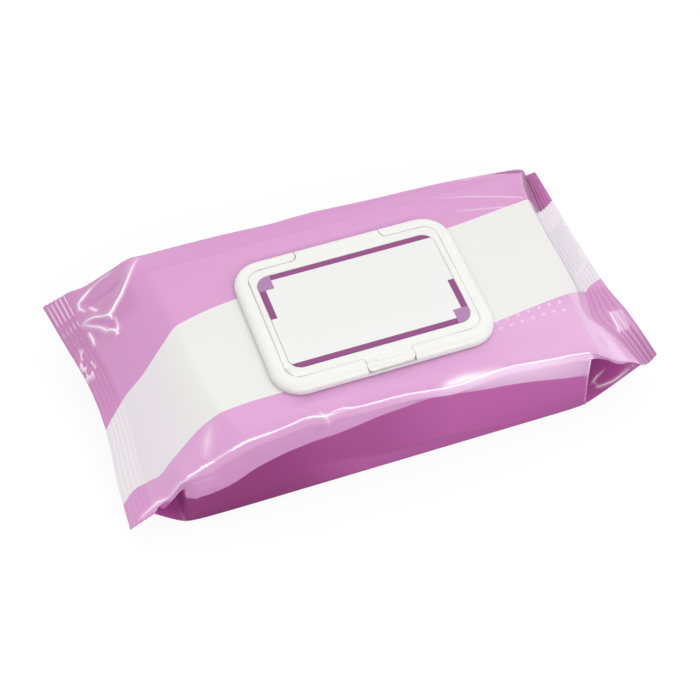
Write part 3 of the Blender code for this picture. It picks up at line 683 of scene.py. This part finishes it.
def feed(owner, node, inputs):
    """Link a socket to each input of a node, or set it to a value."""
    for name, value in inputs.items():
        if isinstance(value, bpy.types.NodeSocket):
            owner.node_tree.links.new(value, node.inputs[name])
        else:
            node.inputs[name].default_value = value


def add_node(owner, kind, settings=None, inputs=None):
    """Add one shader node, set its own settings, and link or set its inputs."""
    node = owner.node_tree.nodes.new(kind)
    for name, value in (settings or {}).items():
        setattr(node, name, value)
    feed(owner, node, inputs or {})
    return node


def add_material(name):
    """A new material, its surface shader, and the place of a point on the object."""
    owner = bpy.data.materials.new(name)
    owner.use_nodes = True
    place = add_node(owner, "ShaderNodeTexCoord").outputs["Object"]
    return owner, owner.node_tree.nodes["Principled BSDF"], place


def lay_colour(owner, colour, share, ink):
    """Lay an ink, or painted light, over a colour by a share, which is a socket or a name the mesh keeps.
    """
    if isinstance(share, str):
        share = add_node(owner, "ShaderNodeAttribute", {"attribute_name": share}).outputs["Fac"]
    inputs = {"Factor": share, 6: colour, 7: linear(ink) if isinstance(ink, str) else ink}
    return add_node(owner, "ShaderNodeMix", {"data_type": "RGBA"}, inputs).outputs[2]


def uneven(owner, place, size, detail, strength, depth, under=None):
    """Noise of a size in mm, and its bump of a depth in mm, over another bump if one is given."""
    inputs = {"Vector": place, "Scale": 1 / (size * MM), "Detail": detail}
    noise = add_node(owner, "ShaderNodeTexNoise", inputs=inputs).outputs[0]
    inputs = {"Height": noise, "Strength": strength, "Distance": depth * MM}
    if under is not None:
        inputs["Normal"] = under
    return noise, add_node(owner, "ShaderNodeBump", inputs=inputs).outputs[0]


# Printed laminate: the inks lie under a clear calendered polyester film, so one even gloss lies over
# every colour. The film hangs slack on the stack, and so its mirrored edges wave, over about 11 mm.
POLYESTER_IOR = 1.65
PINK = "#c485b8"
# Over the pink: painted light, the deep ink, painted shade and painted highlights
PRINT_AND_PAINTED_LIGHT = (("light", "#eacae6"), ("deep", "#b4599f"), ("shade", "#780059"), ("sharp", "#f6eaf4"))
PAINTED_HIGHLIGHT = "#f6eaf4"
DOT_LILAC = "#e3cfe2"
BAND_WHITE = "#d6d6d2"
BAND_TINTS = (("lilac_towards_ends", "#d8d2d7"), ("patch", "#cbc3ce"))
BAND_EDGE = 0.12

laminate, laminate_surface, film_place = add_material("printed_polyester_laminate")
film_colour = linear(PINK)
for name, code in PRINT_AND_PAINTED_LIGHT:
    film_colour = lay_colour(laminate, film_colour, name, code)

# The painted highlight lines, white, which fade as e to the power of minus a distance that is counted
# in reaches
for number in range(SETS):
    names = (f"white_at_{number}", f"white_{number}")
    distance, strength = (
        add_node(laminate, "ShaderNodeAttribute", {"attribute_name": name}).outputs["Fac"] for name in names
    )
    distance = add_node(laminate, "ShaderNodeMath", {"operation": "ABSOLUTE"}, {0: distance}).outputs[0]
    inputs = {0: math.exp(-1), 1: distance}
    faded = add_node(laminate, "ShaderNodeMath", {"operation": "POWER"}, inputs).outputs[0]
    settings = {"operation": "MULTIPLY", "use_clamp": True}
    share = add_node(laminate, "ShaderNodeMath", settings, {0: faded, 1: strength}).outputs[0]
    film_colour = lay_colour(laminate, film_colour, share, PAINTED_HIGHLIGHT)

# Two rows of pale dots near the right end, each row given by its first dot's x and y, its slope and
# its last dot's number. Places are counted in steps from the first dot; a dot is a circle round the
# nearest whole step, and it is fainter the farther it lies along its row.
DOT_ROWS = ((93.0, -32.4, 0.07, 9), (93.4, -36.9, 0.052, 11))
DOT_STEP = 5.42
DOT_RADIUS = 0.8
FIRST_DOT = 0.6
DOT_FADE = 0.4
ON_TOP = 30.0
dots = 0.0
per_step = 1 / (DOT_STEP * MM)
radius = DOT_RADIUS / DOT_STEP
for first_x, first_y, slope, last in DOT_ROWS:
    inputs = {0: film_place, 1: (-per_step, per_step, 0), 2: (first_x / DOT_STEP, -first_y / DOT_STEP, 0)}
    steps = add_node(laminate, "ShaderNodeVectorMath", {"operation": "MULTIPLY_ADD"}, inputs).outputs[0]
    along = add_node(laminate, "ShaderNodeSeparateXYZ", inputs={0: steps}).outputs[0]
    nearest = add_node(laminate, "ShaderNodeMath", {"operation": "ROUND"}, {0: along}).outputs[0]
    nearest = add_node(laminate, "ShaderNodeClamp", inputs={0: nearest, "Max": float(last)}).outputs[0]
    inputs = {0: along, 1: nearest}
    off_step = add_node(laminate, "ShaderNodeMath", {"operation": "SUBTRACT"}, inputs).outputs[0]
    inputs = {0: steps, 1: (slope, 1, 0)}
    off_row = add_node(laminate, "ShaderNodeVectorMath", {"operation": "DOT_PRODUCT"}, inputs)
    inputs = {0: off_step, 1: off_row.outputs["Value"]}
    off = add_node(laminate, "ShaderNodeCombineXYZ", inputs=inputs).outputs[0]
    away = add_node(laminate, "ShaderNodeVectorMath", {"operation": "LENGTH"}, {0: off}).outputs["Value"]
    inputs = {"Value": away, "From Min": radius * 1.2, "From Max": radius * 0.8}
    dot = add_node(laminate, "ShaderNodeMapRange", inputs=inputs).outputs[0]
    inputs = {0: nearest, 1: -DOT_FADE / last, 2: FIRST_DOT}
    fade = add_node(laminate, "ShaderNodeMath", {"operation": "MULTIPLY_ADD"}, inputs).outputs[0]
    inputs = {0: dot, 1: fade, 2: dots}
    dots = add_node(laminate, "ShaderNodeMath", {"operation": "MULTIPLY_ADD"}, inputs).outputs[0]
level = add_node(laminate, "ShaderNodeSeparateXYZ", inputs={0: film_place}).outputs[2]
inputs = {0: level, 1: ON_TOP * MM}
over = add_node(laminate, "ShaderNodeMath", {"operation": "GREATER_THAN"}, inputs).outputs[0]
share = add_node(laminate, "ShaderNodeMath", {"operation": "MULTIPLY"}, {0: dots, 1: over}).outputs[0]
film_colour = lay_colour(laminate, film_colour, share, DOT_LILAC)

backing = linear(BAND_WHITE)
for name, code in BAND_TINTS:
    backing = lay_colour(laminate, backing, name, code)
band_place = add_node(laminate, "ShaderNodeAttribute", {"attribute_name": "band"}).outputs["Fac"]
inputs = {"Value": band_place, "From Min": -BAND_EDGE, "From Max": BAND_EDGE}
share = add_node(laminate, "ShaderNodeMapRange", inputs=inputs).outputs[0]
wavy = uneven(laminate, film_place, size=11.111, detail=3.0, strength=0.25, depth=0.6)[1]
feed(laminate, laminate_surface, {
    "Base Color": lay_colour(laminate, film_colour, share, backing), "Roughness": 0.28, "IOR": POLYESTER_IOR,
    "Specular IOR Level": 0.1, "Coat Weight": 1.0, "Coat Roughness": 0.04, "Coat IOR": POLYESTER_IOR,
    "Normal": wavy, "Coat Normal": wavy,
})
film.data.materials.append(laminate)
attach(film, "pack")
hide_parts("film_pouch")

# The lid's frame and cover
# One injection moulding in white polypropylene, with a thin web as its hinge; its underside is glued
# to the film round the opening.

# Moulded polypropylene: a fine spark-eroded grain on the mould leaves the faces satin, and the walls
# let a little light through, which softens their edges. Real grain of about 0.1 mm is too fine to
# show, so it is drawn at 0.38 mm. Cooling leaves wide, shallow sink marks, about 18 mm apart.
satin, satin_surface, lid_place = add_material("moulded_polypropylene")
sink, sunken = uneven(satin, lid_place, size=18.182, detail=1.0, strength=0.2, depth=0.4)
grained = uneven(satin, lid_place, size=0.38462, detail=2.0, strength=0.12, depth=0.06, under=sunken)[1]
inputs = {"Value": sink, "From Min": 0.3, "From Max": 0.7, "To Min": 0.32, "To Max": 0.4}
feed(satin, satin_surface, {
    "Base Color": linear("#dededb"), "IOR": 1.49, "Subsurface Weight": 0.6,
    "Subsurface Radius": (1.0, 1.0, 1.0), "Subsurface Scale": 1.5 * MM,
    "Roughness": add_node(satin, "ShaderNodeMapRange", inputs=inputs).outputs[0], "Normal": grained,
})


def merged_copy(node, name):
    """A CAD node's mesh as a new object, with the corners that its loose triangles share made one."""
    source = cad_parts[node]
    mesh = source.data.copy()
    mesh.transform(source.matrix_world)
    work = bmesh.new()
    work.from_mesh(mesh)
    bmesh.ops.remove_doubles(work, verts=work.verts, dist=2e-6)
    work.to_mesh(mesh)
    work.free()
    item = bpy.data.objects.new(name, mesh)
    bpy.context.scene.collection.objects.link(item)
    return item


def read_rows(elements, name, width, kind=np.float32):
    """One property of a mesh's elements, as an array with a row for each of them."""
    flat = np.empty(len(elements) * width, dtype=kind)
    elements.foreach_get(name, flat)
    return flat.reshape(len(elements), width)


def dress(item, material):
    """Give an object one material in place of its own."""
    item.data.materials.clear()
    item.data.materials.append(material)


# The cover grows sideways by the width that its parting gap loses, except along its hinge: each corner
# moves along the sum of its upright outer faces' directions, weighed by their areas
PARTING_CLOSE = 0.27
UPRIGHT = 0.6
OUTER_X, OUTER_Y, HINGE_SIDE = 40.0, 29.5, 30.0

cover = merged_copy("lid_cover", "flip_cover")
shell = cover.data
corner = read_rows(shell.vertices, "co", 3).astype(float)
triangles = read_rows(shell.loops, "vertex_index", 1, np.int32).reshape(-1, 3)
facing = read_rows(shell.polygons, "normal", 3).astype(float)
middle = read_rows(shell.polygons, "center", 3) - np.mean(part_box("lid_frame"), axis=0)
moved = (abs(middle[:, 0]) > OUTER_X * MM) | (abs(middle[:, 1]) > OUTER_Y * MM)
moved &= (middle[:, :2] * facing[:, :2]).sum(axis=1) > 0
moved &= (abs(facing[:, 2]) < UPRIGHT) & (middle[:, 1] < HINGE_SIDE * MM)
weighed = facing * read_rows(shell.polygons, "area", 1)
push = np.zeros_like(corner)
for index in range(3):
    np.add.at(push, triangles[moved, index], weighed[moved])
push[:, 2] = 0
length = np.linalg.norm(push, axis=1, keepdims=True)
corner += push / np.maximum(length, 1e-12) * PARTING_CLOSE * MM * (length > 0)
shell.vertices.foreach_set("co", corner.astype(np.float32).ravel())
shell.update()
dress(cover, satin)
shell.shade_smooth()
shell.set_sharp_from_angle(angle=math.radians(35))
even = cover.modifiers.new("even_faces", "WEIGHTED_NORMAL")
even.keep_sharp = True
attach(cover, "lid")
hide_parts("lid_cover")
dress(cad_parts["lid_frame"], satin)

# The hinge web
# The same moulding thins here to a strip of about a third of a millimetre, which bends when the lid
# opens. It runs from the frame's back rail, round the hinge line, to the cover's foot.

WEB_MIDDLE = 6.1
WEB_HALF = 20.5
WEB_STATIONS = 9
# The section as y and z, up along its outer side and down along its inner side
WEB = np.array((
    (33.7, 49.45), (34.3, 49.5), (34.5, 49.7), (34.54, 49.9), (34.5, 50.1), (34.28, 50.3), (33.7, 50.35),
    (33.7, 50.05), (34.0, 50.02), (34.15, 49.97), (34.18, 49.9), (34.15, 49.83), (34.0, 49.78),
    (33.7, 49.75),
))
web_x = WEB_MIDDLE + np.linspace(-WEB_HALF, WEB_HALF, WEB_STATIONS)
web_points = np.column_stack([np.repeat(web_x, len(WEB)), np.tile(WEB, (WEB_STATIONS, 1))])
ring = np.arange(len(web_points)).reshape(WEB_STATIONS, len(WEB))
following = np.roll(ring, -1, axis=1)
sides = np.stack([ring[:-1], following[:-1], following[1:], ring[1:]], axis=2).reshape(-1, 4)
outer = np.arange(len(WEB) // 2 - 1)
caps = np.stack([outer, len(WEB) - 1 - outer, len(WEB) - 2 - outer, outer + 1], axis=1)
web_faces = sides.tolist() + caps.tolist() + (caps[:, ::-1] + ring[-1, 0]).tolist()
web = add_object("hinge_web", web_points, web_faces)
web.data.materials.append(satin)
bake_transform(web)

# The label
# A printed card in the cover's recess, with a magenta line along each side that the corners clip,
# and a lilac block at two opposite corners.

# Offset-printed satin card: a thin varnish evens out the fibres and leaves a faint tooth. Real fibres
# of 0.03 mm are too fine to show, so the tooth is drawn at 1.1 mm. The print is a set of boxes, each
# with its low and high corner from the label's middle, and again turned half round.
LABEL_PRINT = (
    ((-36.4, 24.6), (46.0, 30.0), "#853b76"),
    ((-46.0, 2.4), (-40.6, 19.6), "#853b76"),
    ((-46.0, 19.6), (-36.4, 30.0), "#a473a1"),
)
card, card_surface, card_place = add_material("printed_satin_card")
card_axes = add_node(card, "ShaderNodeSeparateXYZ", inputs={0: card_place}).outputs
label_middle = np.mean(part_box("lid_label"), axis=0)
card_colour = linear("#d9d9d7")
for low, high, code in LABEL_PRINT:
    for sign in (1, -1):
        share = 1.0
        for axis in (0, 1):
            inputs = {0: card_axes[axis], 1: sign / MM, 2: -sign * label_middle[axis] / MM}
            across = add_node(card, "ShaderNodeMath", {"operation": "MULTIPLY_ADD"}, inputs).outputs[0]
            inputs = {0: across, 1: (high[axis] + low[axis]) / 2, 2: (high[axis] - low[axis]) / 2}
            near = add_node(card, "ShaderNodeMath", {"operation": "COMPARE"}, inputs).outputs[0]
            inputs = {0: near, 1: share}
            share = add_node(card, "ShaderNodeMath", {"operation": "MULTIPLY"}, inputs).outputs[0]
        card_colour = lay_colour(card, card_colour, share, code)
toothed = uneven(card, card_place, size=1.1111, detail=3.0, strength=0.1, depth=0.1)[1]
feed(card, card_surface, {"Base Color": card_colour, "Roughness": 0.42, "Normal": toothed})
dress(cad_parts["lid_label"], card)

# The peel seal
# A laminate patch that closes the opening until first use, held by a ring of soft adhesive and pulled
# off by its tongue.

# Embossed aluminium laminate: clear film over rolled foil, which gives the grey, hazy sheen. Its
# embossed dimples lie 2.4 mm apart, and it lies slack in soft dents of 11 mm.
DIMPLE_APART = 2.381
foil, foil_surface, foil_place = add_material("peel_laminate")
slack, dented = uneven(foil, foil_place, size=11.111, detail=0.0, strength=0.4, depth=0.6)
inputs = {"Vector": foil_place, "Scale": 1 / (DIMPLE_APART * MM), "Randomness": 0.0, "Smoothness": 1.0}
dimples = add_node(foil, "ShaderNodeTexVoronoi", {"feature": "SMOOTH_F1"}, inputs).outputs["Distance"]
inputs = {"Height": dimples, "Strength": 0.5, "Distance": 0.3 * MM, "Normal": dented}
embossed = add_node(foil, "ShaderNodeBump", inputs=inputs).outputs[0]
inputs = {"Value": slack, "From Min": 0.3, "From Max": 0.7, "To Min": 0.26, "To Max": 0.42}
hazy = add_node(foil, "ShaderNodeMapRange", inputs=inputs).outputs[0]
foil_colour = linear("#c3c4ca")
inputs = {"Base Color": foil_colour, "Metallic": 0.75, "Roughness": hazy, "Normal": embossed}
feed(foil, foil_surface, inputs)
dress(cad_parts["peel_seal"], foil)

# The studio
# A camera at the photo's angle, a lamp in front, a tent of white cloth that glows softly, and a floor
# of white paper. Camera, mirror and glass rays see the tent and the paper as plain white.

CAMERA_AZIMUTH = math.radians(-20.263)
CAMERA_ELEVATION = math.radians(52.510)
CAMERA_ROLL = math.radians(0.614)
CAMERA_DISTANCE = 874.56
CAMERA_TARGET = np.array([4.415, 7.221, 0.0])
FOCAL_PIXELS = 1800
PICTURE_PIXELS = 700
SENSOR = 36.0
# The lamp is a long strip, so that it shows as one narrow line on each crease
LAMP_TOWARDS = np.array([0.0, -0.75, 0.62])
LAMP_DISTANCE = 1200.0
LAMP_WIDTH, LAMP_HEIGHT = 1.5, 0.24
LAMP_RADIANCE = 7.5


def stand(name, data, right, up, back, at):
    """A new object, turned by its three axes and put at a place in mm."""
    item = bpy.data.objects.new(name, data)
    bpy.context.scene.collection.objects.link(item)
    item.matrix_world = Matrix(np.vstack([np.column_stack([right, up, back, at * MM]), (0, 0, 0, 1)]))
    return item


flat = math.cos(CAMERA_ELEVATION)
sideways = np.array([math.cos(CAMERA_AZIMUTH), math.sin(CAMERA_AZIMUTH), 0.0])
back = np.array([flat * sideways[1], -flat * sideways[0], math.sin(CAMERA_ELEVATION)])
above = np.cross(back, sideways)
right = math.cos(CAMERA_ROLL) * sideways + math.sin(CAMERA_ROLL) * above
up = -math.sin(CAMERA_ROLL) * sideways + math.cos(CAMERA_ROLL) * above
lens = bpy.data.cameras.new("camera")
lens.sensor_width = SENSOR
lens.lens = FOCAL_PIXELS / PICTURE_PIXELS * SENSOR
at = CAMERA_TARGET + back * CAMERA_DISTANCE
bpy.context.scene.camera = stand("camera", lens, right, up, back, at)

strip = bpy.data.lights.new("front_strip", "AREA")
strip.shape = "RECTANGLE"
strip.size, strip.size_y = LAMP_WIDTH, LAMP_HEIGHT
strip.energy = LAMP_RADIANCE * math.pi * LAMP_WIDTH * LAMP_HEIGHT
towards = LAMP_TOWARDS / np.linalg.norm(LAMP_TOWARDS)
side = np.cross((0, 0, 1), towards)
side /= np.linalg.norm(side)
stand("front_strip", strip, side, np.cross(towards, side), towards, towards * LAMP_DISTANCE)

# Each glow of the tent by its direction, the cosines of its edge and of where it is full, and its gain
GLOWS = (
    ((0.2, 0.40, 0.89), 0.65, 0.95, 0.83),
    ((-0.6, 0.45, 0.5), 0.3, 0.9, 0.86),
    ((0.8, 0.05, 0.55), 0.5, 0.95, 0.95),
    ((0.0, 0.93, 0.36), 0.8, 0.98, 0.5),
)
BASE_GLOW = 0.1


def either(owner, ray, other):
    """The larger of a kind of ray, by its name in Light Path, and another value."""
    seen = add_node(owner, "ShaderNodeLightPath").outputs[ray]
    return add_node(owner, "ShaderNodeMath", {"operation": "MAXIMUM"}, {0: seen, 1: other}).outputs[0]


def mirror_ray(owner):
    """A value of 1 on rays that a mirror or clear glass sends on, for them to meet the white too."""
    return either(owner, "Is Glossy Ray", either(owner, "Is Transmission Ray", 0.0))


world = bpy.data.worlds.new("studio")
bpy.context.scene.world = world
world.use_nodes = True
sky = add_node(world, "ShaderNodeTexCoord").outputs["Generated"]
glow = BASE_GLOW
for middle, edge, full, gain in GLOWS:
    inputs = {0: sky, 1: (np.array(middle) / np.linalg.norm(middle)).tolist()}
    cosine = add_node(world, "ShaderNodeVectorMath", {"operation": "DOT_PRODUCT"}, inputs)
    inputs = {"Value": cosine.outputs["Value"], "From Min": edge, "From Max": full, "To Max": gain}
    lobe = add_node(world, "ShaderNodeMapRange", {"interpolation_type": "SMOOTHSTEP"}, inputs).outputs[0]
    glow = add_node(world, "ShaderNodeMath", inputs={0: lobe, 1: glow}).outputs[0]
inputs = {"Factor": either(world, "Is Camera Ray", mirror_ray(world)), "A": glow, "B": 1.0}
shown = add_node(world, "ShaderNodeMix", inputs=inputs).outputs["Result"]
feed(world, world.node_tree.nodes["Background"], {"Color": (1, 1, 1, 1), "Strength": shown})

# Uncoated white paper, which has no mirror of its own. The camera sees it nearly plain white, with a
# tenth of its real light left for the shadow. Beside the pack mirrored rays meet that shadow,
# deepened to grey, and farther off they meet the white.
FLOOR_HALF = 3000.0
PACK_HALVES = (131.0, 63.0, 0.0)
SHADOW_END, WHITE_START = 50.0, 120.0
CAMERA_WHITE = 0.9
floor_corners = np.array([(-1, -1, 0), (1, -1, 0), (1, 1, 0), (-1, 1, 0)]) * FLOOR_HALF
floor = add_object("floor", floor_corners, [(0, 1, 2, 3)])
paper, paper_surface, beside = add_material("white_paper")
inputs = {"Base Color": linear("#f4f4f4"), "Roughness": 0.8, "Specular IOR Level": 0.0}
feed(paper, paper_surface, inputs)
rays = add_node(paper, "ShaderNodeLightPath").outputs
halves = tuple(half * MM for half in PACK_HALVES)
beside = add_node(paper, "ShaderNodeVectorMath", {"operation": "ABSOLUTE"}, {0: beside}).outputs[0]
for operation, other in (("SUBTRACT", halves), ("MAXIMUM", (0.0, 0.0, 0.0))):
    inputs = {0: beside, 1: other}
    beside = add_node(paper, "ShaderNodeVectorMath", {"operation": operation}, inputs).outputs[0]
away = add_node(paper, "ShaderNodeVectorMath", {"operation": "LENGTH"}, {0: beside}).outputs["Value"]
inputs = {"Value": away, "From Min": SHADOW_END * MM, "From Max": WHITE_START * MM}
clear = add_node(paper, "ShaderNodeMapRange", {"interpolation_type": "SMOOTHSTEP"}, inputs).outputs[0]
in_camera, in_mirror = (
    add_node(paper, "ShaderNodeMath", {"operation": "MULTIPLY"}, {0: ray, 1: share}).outputs[0]
    for ray, share in ((rays["Is Camera Ray"], CAMERA_WHITE), (mirror_ray(paper), clear))
)
inputs = {0: in_camera, 1: in_mirror}
share = add_node(paper, "ShaderNodeMath", {"operation": "MAXIMUM"}, inputs).outputs[0]
grey = add_node(paper, "ShaderNodeBsdfDiffuse", inputs={"Color": linear("#7a7a7a")}).outputs[0]
white = add_node(paper, "ShaderNodeEmission", inputs={"Color": (1, 1, 1, 1), "Strength": 1.0}).outputs[0]
lit = paper_surface.outputs[0]
for factor, shader in ((rays["Is Glossy Ray"], grey), (share, white)):
    lit = add_node(paper, "ShaderNodeMixShader", inputs={0: factor, 1: lit, 2: shader}).outputs[0]
feed(paper, paper.node_tree.nodes["Material Output"], {"Surface": lit})
floor.data.materials.append(paper)

bpy.context.scene.view_settings.view_transform = "Standard"
